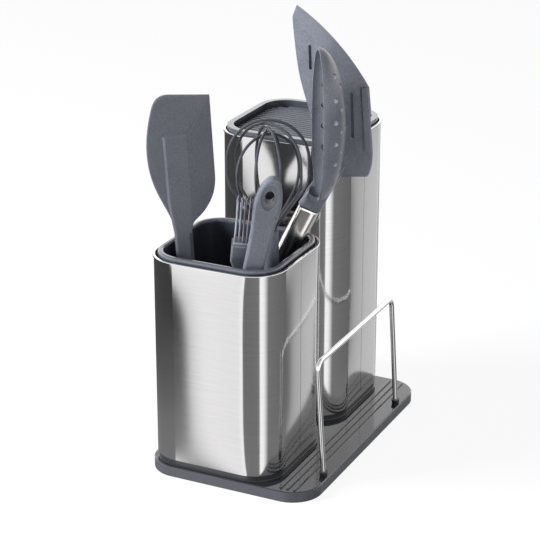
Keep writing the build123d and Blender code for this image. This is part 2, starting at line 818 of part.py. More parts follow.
bowl_opening = Vector(sin(radians(bowl_facing)), -cos(radians(bowl_facing)), 0)
bowl_plane = Plane(
    origin=spoon_plane.from_local_coords((bowl_across, bowl_along, bowl_out)),
    x_dir=Vector(0, 0, 1).cross(bowl_opening),
    z_dir=bowl_opening,
)
bowl_outside = bowl_plane * scale(Sphere(1), by=(bowl_half_width, bowl_half_length, bowl_depth))
bowl_inside = bowl_plane * scale(
    Sphere(1), by=(bowl_half_width - bowl_wall, bowl_half_length - bowl_wall, bowl_depth - bowl_wall)
)
hole_spots = [
    (side * bowl_hole_across(along, level), along, level)
    for level, count in bowl_hole_levels
    for along in hole_row(count)
    for side in (-1, 1)
]
hole_spots += [(0, along, bowl_hole_depth(along)) for along in hole_row(bowl_middle_holes)]
hole_planes = [bowl_plane * bowl_hole_plane(*spot) for spot in hole_spots]
with BuildPart() as spoon_head:
    add(bowl_outside)
    split(bisect_by=bowl_plane, keep=Keep.BOTTOM)
    with BuildSketch(cross_plane(spoon_plane, spoon_handle_length)):
        RectangleRounded(spoon_neck_width, spoon_neck_thickness, spoon_neck_edge)
    root_plane = Plane(
        origin=bowl_plane.from_local_coords((0, spoon_root_rise - bowl_half_length, -spoon_root_depth)),
        x_dir=spoon_plane.x_dir,
        z_dir=spoon_plane.y_dir,
    )
    with BuildSketch(root_plane):
        RectangleRounded(spoon_root_width, spoon_root_thickness, spoon_root_edge)
    loft()
    add(bowl_inside, mode=Mode.SUBTRACT)
    with BuildSketch(*hole_planes):
        Circle(bowl_hole_diameter / 2)
    extrude(amount=bowl_wall + cut_overrun, both=True, mode=Mode.SUBTRACT)
    with BuildSketch(cross_plane(spoon_plane, spoon_handle_length)):
        Rectangle(tang_width + 2 * running_fit, tang_thickness + 2 * running_fit)
    extrude(amount=tang_length + seat_gap, mode=Mode.SUBTRACT)
save(spoon_head.part, "spoon_head")

# Turner: a grooved blade with a bevelled front edge and a raised side, set askew on its handle
turner_plane = stance(
    turner_foot_shares, turner_rim_shares, square_facing, steel_handle_width / 2, steel_handle_thickness / 2
)
turner_handle = flat_handle(
    turner_plane, turner_handle_length, steel_handle_width, steel_handle_thickness, steel_handle_edge
)
save(turner_handle, "turner_handle")

blade_lean = radians(turner_blade_lean)
blade_plane = Plane(
    origin=(turner_blade_x, turner_blade_y, turner_blade_z),
    x_dir=(cos(blade_lean), 0, sin(blade_lean)),
    z_dir=(0, -1, 0),
)
with BuildPart() as turner_head:
    left = scaled(turner_left_shares, turner_blade_width, turner_blade_length)
    front = scaled(turner_front_shares, turner_blade_width, turner_blade_length)
    right = scaled(turner_right_shares, turner_blade_width, turner_blade_length)
    bottom_corner = scaled([turner_bottom_shares], turner_blade_width, turner_blade_length)[0]
    with BuildSketch(blade_plane):
        with BuildLine():
            Spline(*left)
            Line(left[-1], front[0])
            front_arc = ThreePointArc(*front)
            Line(front[-1], right[0])
            Spline(*right)
            Polyline(right[-1], bottom_corner, left[0])
        make_face()
    extrude(amount=turner_blade_thickness / 2, both=True)
    arc_middle = Vector(front_arc.arc_center.X, front_arc.arc_center.Y, turner_blade_thickness / 2)
    bevel_plane = Plane(
        origin=blade_plane.from_local_coords(arc_middle), x_dir=blade_plane.x_dir, z_dir=blade_plane.y_dir
    )
    with BuildSketch(bevel_plane):
        Polygon(
            (front_arc.radius - turner_bevel_width, 0),
            (front_arc.radius + turner_bevel_width, 2 * turner_bevel_depth),
            (front_arc.radius + turner_bevel_width, -2 * turner_bevel_depth),
            align=None,
        )
    revolve(axis=Axis(bevel_plane.origin, blade_plane.z_dir), mode=Mode.SUBTRACT)
    with BuildSketch(blade_plane):
        with BuildLine():
            Polyline(
                front[-1],
                right[0],
                right[1],
                (right[1][0] - turner_flange_width, right[1][1]),
                (front[-1][0] - turner_flange_width, front[-1][1]),
                close=True,
            )
        make_face()
    extrude(amount=turner_flange_height)
    for slot_share, bottom_share, top_share in turner_slot_shares:
        slot_length = (top_share - bottom_share) * turner_blade_length
        slot_middle = (top_share + bottom_share) / 2 * turner_blade_length
        with BuildSketch(blade_plane.offset(turner_slot_web - turner_blade_thickness / 2)):
            with Locations((slot_share * turner_blade_width, slot_middle)):
                SlotOverall(slot_length, turner_slot_width, rotation=90)
        extrude(amount=turner_blade_thickness, mode=Mode.SUBTRACT)
    with BuildSketch(cross_plane(turner_plane, turner_handle_length)):
        RectangleRounded(turner_neck_width, turner_neck_thickness, turner_neck_edge)
    extrude(amount=turner_socket_length)
    with BuildSketch(cross_plane(turner_plane, turner_handle_length + turner_socket_length)):
        RectangleRounded(turner_neck_width, turner_neck_thickness, turner_neck_edge)
    blade_root = Plane(
        origin=blade_plane.from_local_coords((turner_root_shift, turner_root_rise, 0)),
        x_dir=blade_plane.x_dir,
        z_dir=blade_plane.y_dir,
    )
    with BuildSketch(blade_root):
        RectangleRounded(turner_neck_width, turner_root_thickness, turner_root_edge)
    loft()
    with BuildSketch(cross_plane(turner_plane, turner_handle_length)):
        Rectangle(tang_width + 2 * running_fit, tang_thickness + 2 * running_fit)
    extrude(amount=tang_length + seat_gap, mode=Mode.SUBTRACT)
save(turner_head.part, "turner_head")
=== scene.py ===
"""Looks of a worktop organiser: a tray with a jar of tools, a knife block and a board rack."""

import json
import logging
import math
import random
from dataclasses import dataclass, replace
from enum import Enum
from typing import Protocol

import bmesh
import bpy
from mathutils import Matrix, Vector


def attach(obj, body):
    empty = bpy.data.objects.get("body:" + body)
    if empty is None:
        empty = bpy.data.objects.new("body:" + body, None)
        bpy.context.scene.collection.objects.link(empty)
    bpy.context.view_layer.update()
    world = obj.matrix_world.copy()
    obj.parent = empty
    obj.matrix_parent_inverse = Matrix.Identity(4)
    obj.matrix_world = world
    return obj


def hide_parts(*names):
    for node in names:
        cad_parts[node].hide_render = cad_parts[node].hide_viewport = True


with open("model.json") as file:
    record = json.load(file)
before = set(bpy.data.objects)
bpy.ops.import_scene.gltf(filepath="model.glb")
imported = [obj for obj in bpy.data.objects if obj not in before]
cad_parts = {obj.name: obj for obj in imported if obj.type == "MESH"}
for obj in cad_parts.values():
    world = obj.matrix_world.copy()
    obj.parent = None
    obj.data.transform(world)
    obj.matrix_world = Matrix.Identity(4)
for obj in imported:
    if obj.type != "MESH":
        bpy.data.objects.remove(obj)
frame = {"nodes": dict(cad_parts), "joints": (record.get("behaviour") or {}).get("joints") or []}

log = logging.getLogger("organiser")

Socket = bpy.types.NodeSocket
Triple = tuple[float, float, float]
Colour = Triple
Span = tuple[float, float]
Stops = tuple[Span, ...]

WHOLE: Span = (0.0, 1.0)
RELIEF_STRENGTH = 0.5
TURNED_FACE = math.radians(25.9)


class Slot(Enum):
    """The record's material slot for the bristles; nothing here reads it, and the tuft makes its
    own material of that name.
    """

    BRISTLES = "bristle_silicone"


class NodeBench:
    """Adds and joins the nodes of one node tree."""

    def __init__(self, tree: bpy.types.NodeTree) -> None:
        """Start on a tree.

        Args:
            tree: The node tree of a material, a world or a group.
        """
        self.tree = tree

    def add(self, kind: str, **settings: object) -> bpy.types.Node:
        """Add a node and set its properties.

        Args:
            kind: The node type's name after "ShaderNode".
            settings: Properties of the node.

        Returns:
            The new node.
        """
        node = self.tree.nodes.new(f"ShaderNode{kind}")
        for name, value in settings.items():
            setattr(node, name, value)
        return node

    def join(self, source: Socket, target: Socket) -> None:
        """Link an output to an input.

        Args:
            source: The output.
            target: The input.
        """
        self.tree.links.new(source, target)

    def feed(self, target: Socket, value: object) -> None:
        """Link an input, or set it where there is nothing to link.

        Args:
            target: The input.
            value: A socket, a number or a colour.
        """
        if isinstance(value, Socket):
            self.join(value, target)
        elif isinstance(value, tuple):
            target.default_value = (*value, 1.0)
        else:
            target.default_value = value

    def math(self, operation: str, *values: object) -> Socket:
        """Add a Math node.

        Args:
            operation: Its operation.
            values: Sockets or numbers, one for each input that it uses.

        Returns:
            Its output.
        """
        node = self.add("Math", operation=operation)
        for socket, value in zip(node.inputs, values):
            self.feed(socket, value)
        return node.outputs[0]

    def object_place(self) -> Socket:
        """Read the place on the surface in the piece's own frame.

        Returns:
            The place, in metres.
        """
        return self.add("TexCoord").outputs["Object"]

    def split(self, source: Socket) -> bpy.types.NodeOutputs:
        """Take a vector apart.

        Args:
            source: The vector.

        Returns:
            Its X, Y and Z.
        """
        node = self.add("SeparateXYZ")
        self.join(source, node.inputs[0])
        return node.outputs

    def spread(
        self, source: Socket, given: Span, wanted: Span = WHOLE, smooth: bool = False
    ) -> Socket:
        """Map one range of a value onto another.

        Args:
            source: The value.
            given: The range that it is read over.
            wanted: What that range becomes.
            smooth: Whether it eases in and out.

        Returns:
            The mapped value, kept within the wanted range.
        """
        node = self.add("MapRange", interpolation_type="SMOOTHSTEP" if smooth else "LINEAR")
        ends = ("From Min", "From Max", "To Min", "To Max")
        for end, value in zip(ends, (*given, *wanted)):
            node.inputs[end].default_value = value
        self.join(source, node.inputs["Value"])
        return node.outputs[0]

    def mixed(self, mask: Socket, low: object, high: object, kind: str = "RGBA") -> Socket:
        """Blend two colours or two values by a mask.

        Args:
            mask: The blend, from 0 to 1.
            low: What shows at 0.
            high: What shows at 1.
            kind: The Mix node's data type.

        Returns:
            The blend.
        """
        mix = self.add("Mix", data_type=kind)
        for name, value in (("Factor", mask), ("A", low), ("B", high)):
            self.feed(mix.inputs[name], value)
        return mix.outputs["Result"]

    def weighed(self, main: Socket, other: Socket, share: float) -> Socket:
        """Add two values by their weights.

        Args:
            main: The first value.
            other: The second value.
            share: How much the second one counts, from 0 to 1.

        Returns:
            Their weighted sum.
        """
        parts = [self.math("MULTIPLY", main, 1 - share), self.math("MULTIPLY", other, share)]
        return self.math("ADD", *parts)

    def noise(
        self, place: Socket, scale: Socket, detail: float, roughness: float = 0.5
    ) -> Socket:
        """Add a noise texture.

        Args:
            place: Where it is read.
            scale: Its waves per metre.
            detail: How many finer layers it has.
            roughness: How strong the finer layers are.

        Returns:
            The noise.
        """
        node = self.add("TexNoise")
        inputs = (("Vector", place), ("Scale", scale), ("Detail", detail))
        for name, value in (*inputs, ("Roughness", roughness)):
            self.feed(node.inputs[name], value)
        return node.outputs["Fac"]

    def bump(
        self, height: Socket, distance: float, strength: float, under: Socket | None = None
    ) -> Socket:
        """Turn a height into a normal.

        Args:
            height: The height.
            distance: How far a height of 1 stands out, in metres.
            strength: How much of it shows.
            under: The normal that it is laid over, if not the surface's own.

        Returns:
            The normal.
        """
        node = self.add("Bump")
        node.inputs["Strength"].default_value = strength
        node.inputs["Distance"].default_value = distance
        self.join(height, node.inputs["Height"])
        if under is not None:
            self.join(under, node.inputs["Normal"])
        return node.outputs[0]


@dataclass(frozen=True)
class Noise:
    """Settings of one noise effect."""

    name: str
    detail: float
    roughness: float = 0.5
    brushed: bool = False
    kept: Span = (0.32, 0.68)
    finer: float = 7.0
    fine_detail: float = 2.0


class Pattern(Enum):
    """Shader effects that more than one finish uses, each a node group."""

    GRAIN = Noise("moulded_grain", 3.0)
    BRUSHING = Noise("fine_brushing", 6.0, roughness=0.62, brushed=True)
    HANDLING = Noise("handling_marks", 5.0)

    def group(self) -> bpy.types.NodeTree:
        """Build the effect's node group once.

        Returns:
            A group with inputs Scale and Stretch and the outputs Value and Fine.
        """
        noise = self.value
        if noise.name in bpy.data.node_groups:
            return bpy.data.node_groups[noise.name]
        tree = bpy.data.node_groups.new(noise.name, "ShaderNodeTree")
        for name, start in (("Scale", 100.0), ("Stretch", 1.0)):
            socket = tree.interface.new_socket(name, in_out="INPUT", socket_type="NodeSocketFloat")
            socket.default_value = start
        for name in ("Value", "Fine"):
            tree.interface.new_socket(name, in_out="OUTPUT", socket_type="NodeSocketFloat")
        bench = NodeBench(tree)
        inputs = tree.nodes.new("NodeGroupInput")
        outputs = tree.nodes.new("NodeGroupOutput")
        stretch = bench.add("CombineXYZ")
        for axis in stretch.inputs:
            axis.default_value = 1.0
        if noise.brushed:
            bench.join(inputs.outputs["Stretch"], stretch.inputs["Z"])
        turned = bench.add("Mapping", vector_type="POINT")
        bench.join(bench.object_place(), turned.inputs["Vector"])
        bench.join(stretch.outputs[0], turned.inputs["Scale"])
        place, scale = turned.outputs[0], inputs.outputs["Scale"]
        broad = bench.noise(place, scale, noise.detail, noise.roughness)
        bench.join(bench.spread(broad, noise.kept), outputs.inputs["Value"])
        fine_scale = bench.math("MULTIPLY", scale, noise.finer)
        bench.join(bench.noise(place, fine_scale, noise.fine_detail), outputs.inputs["Fine"])
        return tree

    def place(self, bench: NodeBench, scale: float, stretch: float = 1.0) -> bpy.types.NodeOutputs:
        """Put the effect into a material.

        Args:
            bench: The material's nodes.
            scale: Size of the pattern, in waves per metre.
            stretch: How much finer it is along Z, for brushing.

        Returns:
            The group's outputs.
        """
        node = bench.add("Group", node_tree=self.group())
        node.inputs["Scale"].default_value = scale
        node.inputs["Stretch"].default_value = stretch
        return node.outputs


class Bulge(Protocol):
    """A shallow outward bow of a face that is flat in the mesh."""

    def height(self, bench: NodeBench) -> Socket:
        """Work out the bulge over the surface.

        Args:
            bench: The material's nodes.

        Returns:
            How far the surface stands out, in metres.
        """


@dataclass(frozen=True)
class Bow:
    """How far a flat bar's or blade's faces bulge between its two edges."""

    middle: Triple
    across: Triple
    half: float
    rise: float = 0.0018
    power: float = 2.0

    def height(self, bench: NodeBench) -> Socket:
        """Work out the bulge over the surface.

        Args:
            bench: The material's nodes.

        Returns:
            How far the bar stands out, in metres.
        """
        shift = bench.add("VectorMath", operation="SUBTRACT")
        bench.join(bench.object_place(), shift.inputs[0])
        shift.inputs[1].default_value = self.middle
        reach = bench.add("VectorMath", operation="DOT_PRODUCT")
        bench.join(shift.outputs[0], reach.inputs[0])
        reach.inputs[1].default_value = self.across
        share = bench.math("DIVIDE", reach.outputs["Value"], self.half)
        bowed = bench.math("SUBTRACT", 1.0, bench.math("POWER", share, self.power))
        return bench.math("MULTIPLY", bowed, self.rise)


@dataclass(frozen=True)
class Belly:
    """How far a sleeve's thin sheet bulges between its corners and between its ends."""

    centre: Triple
    half: Triple = (0.034, 0.033, 0.081)
    across: float = 0.0019
    upright: float = 0.0014
    powers: Triple = (2.0, 2.0, 4.0)

    def height(self, bench: NodeBench) -> Socket:
        """Work out the bulge over the surface.

        Args:
            bench: The material's nodes.

        Returns:
            How far the sheet stands out, in metres.
        """
        place = bench.split(bench.object_place())
        bowed = []
        for axis, centre, half, power in zip(place, self.centre, self.half, self.powers):
            reach = bench.math("ABSOLUTE", bench.math("SUBTRACT", axis, centre))
            fall = bench.math("POWER", bench.math("DIVIDE", reach, half), power)
            bowed.append(bench.math("MAXIMUM", bench.math("SUBTRACT", 1.0, fall), 0.0))
        sides = bench.math("MULTIPLY", bench.math("ADD", bowed[0], bowed[1]), self.across)
        return bench.math("MULTIPLY", bench.math("ADD", sides, self.upright), bowed[2])


@dataclass(frozen=True)
class Satin:
    """Satin lower part of a piece whose top is glossier; on the liner the top's lighter colour is a
    painted highlight on the rim bead.
    """

    top: float
    colour: Colour
    rougher: float = 0.34
    blur: float = 0.0005

    def mask(self, bench: NodeBench) -> Socket:
        """Find the satin part by its height.

        Args:
            bench: The material's nodes.

        Returns:
            A mask, 1 where the piece is satin.
        """
        height = bench.split(bench.object_place())["Z"]
        return bench.spread(height, (self.top, self.top - self.blur), smooth=True)


def started(name: str) -> tuple[bpy.types.Material, NodeBench, bpy.types.Node]:
    """Begin a material.

    Args:
        name: The material's name.

    Returns:
        The material, its bench and its Principled shader.
    """
    made = bpy.data.materials.new(name)
    made.use_nodes = True
    bench = NodeBench(made.node_tree)
    return made, bench, made.node_tree.nodes["Principled BSDF"]


def scaled(values: tuple[float, ...], factor: float) -> tuple[float, ...]:
    """Multiply every value of a colour or a range.

    Args:
        values: The values.
        factor: What they are multiplied by.

    Returns:
        The products.
    """
    return tuple(value * factor for value in values)


@dataclass(frozen=True)
class MouldedPlastic:
    """Dark plastic or silicone with a moulded grain, softened edges and a trace of handling."""

    name: str
    colour: Colour
    roughness: float
    grain: float = 900.0
    depth: float = 0.00004
    edge: float = 0.0004
    edge_samples: int = 8
    coat: float = 0.0
    coat_roughness: float = 0.08
    contrast: float = 0.16
    marks: float = 38.0
    marks_share: float = 0.3
    uneven: Span = (0.88, 1.12)
    satin: Satin | None = None
    bulge: Bulge | None = None

    def material(self) -> bpy.types.Material:
        """Make the material.

        Returns:
            The material.
        """
        made, bench, shader = started(self.name)
        marks = Pattern.HANDLING.place(bench, self.marks)["Value"]
        grain = Pattern.GRAIN.place(bench, self.grain)["Value"]
        low, high = (scaled(self.colour, 1 + way * self.contrast) for way in (-1, 1))
        tint = bench.mixed(bench.weighed(grain, marks, self.marks_share), low, high)
        rough = bench.spread(marks, WHOLE, scaled(self.uneven, self.roughness))
        shader.inputs["Coat Weight"].default_value = self.coat
        shader.inputs["Coat Roughness"].default_value = self.coat_roughness
        # The satin line splits the colour by height; on the liner the lighter colour above it is a
        # painted highlight on the rim.
        if self.satin:
            sides = self.satin.mask(bench)
            tint = bench.mixed(sides, tint, self.satin.colour)
            rough = bench.math("ADD", rough, bench.math("MULTIPLY", sides, self.satin.rougher))
            coat = bench.math("MULTIPLY", bench.math("SUBTRACT", 1.0, sides), self.coat)
            bench.join(coat, shader.inputs["Coat Weight"])
        bench.join(tint, shader.inputs["Base Color"])
        bench.join(rough, shader.inputs["Roughness"])
        relief = bench.bump(grain, self.depth, RELIEF_STRENGTH, self.under(bench))
        bench.join(relief, shader.inputs["Normal"])
        return made

    def under(self, bench: NodeBench) -> Socket:
        """Make the normal below the grain, which is bowed or else soft at the edges.

        Args:
            bench: The material's nodes.

        Returns:
            The normal.
        """
        if self.bulge:
            return bench.bump(self.bulge.height(bench), 1.0, 1.0)
        soft = bench.add("Bevel", samples=self.edge_samples)
        soft.inputs["Radius"].default_value = self.edge
        return soft.outputs[0]


@dataclass(frozen=True)
class BrushedSteel:
    """Polished steel with fine brush lines that run round it and faint smudges."""

    name: str
    colour: Colour
    roughness: float
    stretch: float = 110.0
    lines: float = 26.0
    depth: float = 0.000003
    spread: float = 0.45
    turned: float = 0.25
    smudges: float = 22.0
    smudge_share: float = 0.4
    dimmed: float = 0.9
    uneven: Span = (0.75, 1.3)
    bulge: Bulge | None = None

    def material(self) -> bpy.types.Material:
        """Make the material.

        Returns:
            The material.
        """
        made, bench, shader = started(self.name)
        brush = Pattern.BRUSHING.place(bench, self.lines, self.stretch)
        smudge = Pattern.HANDLING.place(bench, self.smudges)["Value"]
        tint = bench.mixed(brush["Value"], scaled(self.colour, self.dimmed), self.colour)
        bench.join(tint, shader.inputs["Base Color"])
        shader.inputs["Metallic"].default_value = 1.0
        shader.inputs["Anisotropic"].default_value = self.spread
        shader.inputs["Anisotropic Rotation"].default_value = self.turned
        worn = bench.weighed(brush["Value"], smudge, self.smudge_share)
        rough = bench.spread(worn, WHOLE, scaled(self.uneven, self.roughness))
        bench.join(rough, shader.inputs["Roughness"])
        tangent = bench.add("Tangent", direction_type="RADIAL", axis="Z")
        bench.join(tangent.outputs[0], shader.inputs["Tangent"])
        under = bench.bump(self.bulge.height(bench), 1.0, 1.0) if self.bulge else None
        relief = bench.bump(brush["Fine"], self.depth, RELIEF_STRENGTH, under)
        bench.join(relief, shader.inputs["Normal"])
        return made


@dataclass(frozen=True)
class Backdrop:
    """The white floor, which keeps a faint shadow."""

    name: str
    shade: float
    lit: float
    roughness: float = 0.9
    specular: float = 0.1

    def material(self) -> bpy.types.Material:
        """Make the material.

        Returns:
            The material.
        """
        made, bench, shader = started(self.name)
        shader.inputs["Base Color"].default_value = (self.shade, self.shade, self.shade, 1.0)
        shader.inputs["Roughness"].default_value = self.roughness
        shader.inputs["Specular IOR Level"].default_value = self.specular
        path = bench.add("LightPath")
        mix = bench.add("MixShader")
        seen = bench.math("MULTIPLY", path.outputs["Is Camera Ray"], self.lit)
        bench.join(seen, mix.inputs[0])
        bench.join(shader.outputs[0], mix.inputs[1])
        bench.join(bench.add("Emission").outputs[0], mix.inputs[2])
        bench.join(mix.outputs[0], made.node_tree.nodes["Material Output"].inputs["Surface"])
        return made


def dress(names: tuple[str, ...], finish: bpy.types.Material) -> None:
    """Give CAD nodes their material.

    Args:
        names: The nodes.
        finish: The material.
    """
    for name in names:
        mesh = frame["nodes"][name]
        if not mesh.material_slots:
            mesh.data.materials.append(finish)
        for place in mesh.material_slots:
            place.material = finish
        log.info("dressed %s", name)


def placed(
    name: str, form: bmesh.types.BMesh, finish: bpy.types.Material, body: str
) -> bpy.types.Object:
    """Turn a form into a piece that rides on a body.

    Args:
        name: The piece's name.
        form: Its shape, in the row frame.
        finish: Its material.
        body: The CAD body that carries it.

    Returns:
        The piece.
    """
    bmesh.ops.recalc_face_normals(form, faces=form.faces)
    for face in form.faces:
        face.smooth = True
    mesh = bpy.data.meshes.new(name)
    form.to_mesh(mesh)
    form.free()
    mesh.materials.append(finish)
    piece = bpy.data.objects.new(name, mesh)
    bpy.context.scene.collection.objects.link(piece)
    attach(piece, body)
    log.info("built %s", name)
    return piece


def tool_axes(slide: str, facing: float) -> tuple[Vector, Vector, Vector]:
    """Find a tool's own axes from its slide.

    Args:
        slide: The slide's name.
        facing: How far the tool's face is turned about the vertical.

    Returns:
        The directions across it, along it and out of its face.
    """
    joint = next(joint for joint in frame["joints"] if joint["name"] == slide)
    along = Vector(joint["axis"]).normalized()
    face = Vector((math.sin(facing), -math.cos(facing), 0.0))
    out = (face - along * face.dot(along)).normalized()
    return along.cross(out), along, out


def reaches(node: str, axes: tuple[Vector, ...]) -> tuple[Vector, Vector]:
    """Measure a CAD node along given axes.

    Args:
        node: The node.
        axes: The axes.

    Returns:
        Its lowest and highest reach along each of them.
    """
    points = [vertex.co for vertex in frame["nodes"][node].data.vertices]
    spans = [[point.dot(axis) for point in points] for axis in axes]
    return Vector([min(span) for span in spans]), Vector([max(span) for span in spans])


@dataclass
class Stand:
    """The tray, its feet and the wire board rack."""

    tray: MouldedPlastic = MouldedPlastic(
        "tray_plastic", (0.012, 0.0135, 0.018), 0.12, grain=260.0, depth=0.00001,
        edge=0.0006, coat=0.35, satin=Satin(0.0080, (0.050, 0.053, 0.064)),
    )
    feet: MouldedPlastic = MouldedPlastic("foot_rubber", (0.02, 0.02, 0.021), 0.7)
    ferrules: MouldedPlastic = MouldedPlastic("ferrule_rubber", (0.012, 0.012, 0.013), 0.42)
    wire: BrushedSteel = BrushedSteel(
        "rack_wire_polish", (0.74, 0.74, 0.75), 0.07, lines=80.0, spread=0.2
    )

    def dress(self) -> None:
        """Dress every piece of the stand."""
        dress(("base_tray",), self.tray.material())
        dress(("base_feet",), self.feet.material())
        dress(("rack_ferrules",), self.ferrules.material())
        dress(("rack_wire",), self.wire.material())


@dataclass
class Holders:
    """The steel jar and knife block with their bottoms, liner, collar, cassette and slats."""

    jar_steel: BrushedSteel = BrushedSteel(
        "jar_steel", (0.66, 0.65, 0.655), 0.12, bulge=Belly((-0.0155, -0.0575, 0.0942))
    )
    knife_steel: BrushedSteel = BrushedSteel(
        "knife_steel", (0.66, 0.65, 0.655), 0.12,
        bulge=Belly((-0.0155, 0.0595, 0.1266), (0.034, 0.033, 0.1134)),
    )
    bottom: MouldedPlastic = MouldedPlastic(
        "bottom_plastic", (0.022, 0.024, 0.030), 0.22, edge=0.0006
    )
    # Painted highlight: the liner's colour above z 0.1756 is lighter than the satin colour below
    # it, standing in for light on the rim bead.
    liner: MouldedPlastic = MouldedPlastic(
        "liner_plastic", (0.060, 0.068, 0.086), 0.24, edge=0.0009, coat=0.5,
        satin=Satin(0.1756, (0.026, 0.031, 0.041), rougher=0.06),
    )
    cassette: MouldedPlastic = MouldedPlastic("cassette_plastic", (0.034, 0.040, 0.053), 0.30)
    collar: MouldedPlastic = MouldedPlastic(
        "collar_plastic", (0.050, 0.056, 0.070), 0.20, edge=0.0005, coat=0.4
    )
    slats: MouldedPlastic = MouldedPlastic("slat_plastic", (0.070, 0.078, 0.095), 0.42, edge=0.0003)

    def dress(self) -> None:
        """Dress every piece of the holders."""
        dress(("jar_sleeve",), self.jar_steel.material())
        dress(("knife_sleeve",), self.knife_steel.material())
        dress(("jar_bottom", "knife_bottom"), self.bottom.material())
        dress(("jar_liner",), self.liner.material())
        dress(("knife_cassette",), self.cassette.material())
        dress(("knife_collar",), self.collar.material())
        dress(("knife_slats",), self.slats.material())


@dataclass
class Tools:
    """The six cooking tools in the jar."""

    nylon: MouldedPlastic = MouldedPlastic(
        "tool_nylon", (0.112, 0.122, 0.148), 0.30, depth=0.00006, contrast=0.26
    )
    soft: MouldedPlastic = MouldedPlastic(
        "soft_silicone", (0.066, 0.071, 0.087), 0.55, grain=850.0, depth=0.00008, contrast=0.24
    )
    wires: MouldedPlastic = MouldedPlastic(
        "wire_coating", (0.040, 0.043, 0.052), 0.26, grain=500.0, edge=0.0001
    )
    steel: BrushedSteel = BrushedSteel(
        "handle_steel", (0.72, 0.70, 0.67), 0.16, lines=120.0, stretch=20.0, spread=0.3
    )
    turner_bow: Bow = Bow((0.039, 0.0, 0.0), (1.0, 0.0, 0.04), 0.031, 0.0072)
    bowed: tuple[tuple[str, str, float], ...] = (
        ("spoon_handle", "spoon_lift", TURNED_FACE),
        ("turner_handle", "turner_lift", 0.0),
    )

    def dress(self) -> None:
        """Dress every tool's pieces."""
        nylon_pieces = ("spoon_head", "small_tool_handle", "whisk_handle", "brush_head")
        dress(nylon_pieces, self.nylon.material())
        turner = replace(self.nylon, name="turner_nylon", bulge=self.turner_bow)
        dress(("turner_head",), turner.material())
        dress(("spatula_head",), self.soft.material())
        dress(("whisk_wires",), self.wires.material())
        dress(("spatula_handle", "brush_handle", "small_tool_blade"), self.steel.material())
        for node, slide, facing in self.bowed:
            axes = tool_axes(slide, facing)
            low, high = (end.x for end in reaches(node, axes))
            bow = Bow(tuple(axes[0] * (high + low) / 2), tuple(axes[0]), (high - low) / 2)
            dress((node,), replace(self.steel, name=f"{node}_steel", bulge=bow).material())


@dataclass
class BristleTuft:
    """The pastry brush's silicone bristles on their slab, each bent a little its own way."""

    columns: int = 8
    rows: int = 4
    radius: float = 0.00082
    tip_share: float = 0.6
    cap_share: float = 0.45
    cap_rise: float = 0.5
    inset: float = 2.2
    slab: float = 0.0022
    slab_edge: float = 0.0006
    sunk: float = 0.8
    shortest: float = 0.975
    curl: float = 0.0011
    sides: int = 8
    steps: int = 7
    seed: int = 7
    finish: MouldedPlastic = MouldedPlastic(
        "bristle_silicone", (0.20, 0.21, 0.245), 0.45, edge=0.0001
    )

    def strand(
        self, form: bmesh.types.BMesh, root: Vector, length: float, lean: Vector
    ) -> None:
        """Add one bristle, which thins towards its rounded tip.

        Args:
            form: The tuft so far.
            root: Its foot on the slab, along the brush's axes.
            length: Its length.
            lean: How far its tip leans, across and out.
        """
        ring = bmesh.ops.create_circle(
            form, cap_ends=True, segments=self.sides, radius=self.radius,
            matrix=Matrix.Translation(root) @ Matrix.Rotation(-math.pi / 2, 4, "X"),
        )
        end = ring["verts"][0].link_faces[0]
        centre, width = root.copy(), self.radius
        for step in range(1, self.steps + 2):
            share = min(step / self.steps, 1.0)
            grown = self.radius * (1 - (1 - self.tip_share) * share)
            rise = length * share
            if step > self.steps:
                rise = length + grown * self.cap_rise
                grown *= self.cap_share
            target = root + Vector((lean.x * share**2, rise, lean.y * share**2))
            made = bmesh.ops.extrude_face_region(form, geom=[end])["geom"]
            points = [part for part in made if isinstance(part, bmesh.types.BMVert)]
            end = next(part for part in made if isinstance(part, bmesh.types.BMFace))
            for point in points:
                point.co = target + (point.co - centre) * (grown / width)
            centre, width = target, grown

    def build(self) -> None:
        """Build the tuft in place of its CAD solid."""
        chance = random.Random(self.seed)
        axes = tool_axes("brush_lift", TURNED_FACE)
        low, high = reaches("brush_bristles", axes)
        middle = (low + high) / 2
        size = high - low
        form = bmesh.new()
        length = size.y - self.slab - self.radius * self.tip_share
        margin = self.inset * self.radius
        for column in range(self.columns):
            for row in range(self.rows):
                across = (column / (self.columns - 1) - 0.5) * (size.x - margin)
                deep = (row / (self.rows - 1) - 0.5) * (size.z - margin)
                root = Vector((middle.x + across, low.y + self.slab * self.sunk, middle.z + deep))
                lean = Vector([chance.uniform(-1, 1) * self.curl for _ in "xy"])
                self.strand(form, root, length * chance.uniform(self.shortest, 1.0), lean)
        block = bmesh.ops.create_cube(form, size=1.0)
        points = block["verts"]
        foot = (middle.x, low.y + self.slab / 2, middle.z)
        bmesh.ops.scale(form, vec=(size.x, self.slab, size.z), verts=points)
        bmesh.ops.translate(form, vec=foot, verts=points)
        edges = list({edge for point in points for edge in point.link_edges})
        bmesh.ops.bevel(
            form, geom=edges, offset=self.slab_edge, affect="EDGES", segments=2, profile=0.5,
            material=-1,
        )
        turned = Matrix(axes).transposed().to_4x4()
        bmesh.ops.transform(form, matrix=turned, verts=form.verts)
        piece = placed("bristle_tuft", form, self.finish.material(), "brush")
        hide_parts("brush_bristles")


@dataclass(frozen=True)
class Lamp:
    """A soft square lamp that gloss doesn't show."""

    name: str
    place: Triple
    size: float
    power: float

    def build(self, aim: Vector) -> None:
        """Hang the lamp.

        Args:
            aim: The point that it faces.
        """
        data = bpy.data.lights.new(self.name, "AREA")
        data.size = self.size
        data.energy = self.power
        lamp = bpy.data.objects.new(self.name, data)
        lamp.location = self.place
        lamp.rotation_euler = (aim - lamp.location).to_track_quat("-Z", "Y").to_euler()
        lamp.visible_glossy = False
        bpy.context.scene.collection.objects.link(lamp)


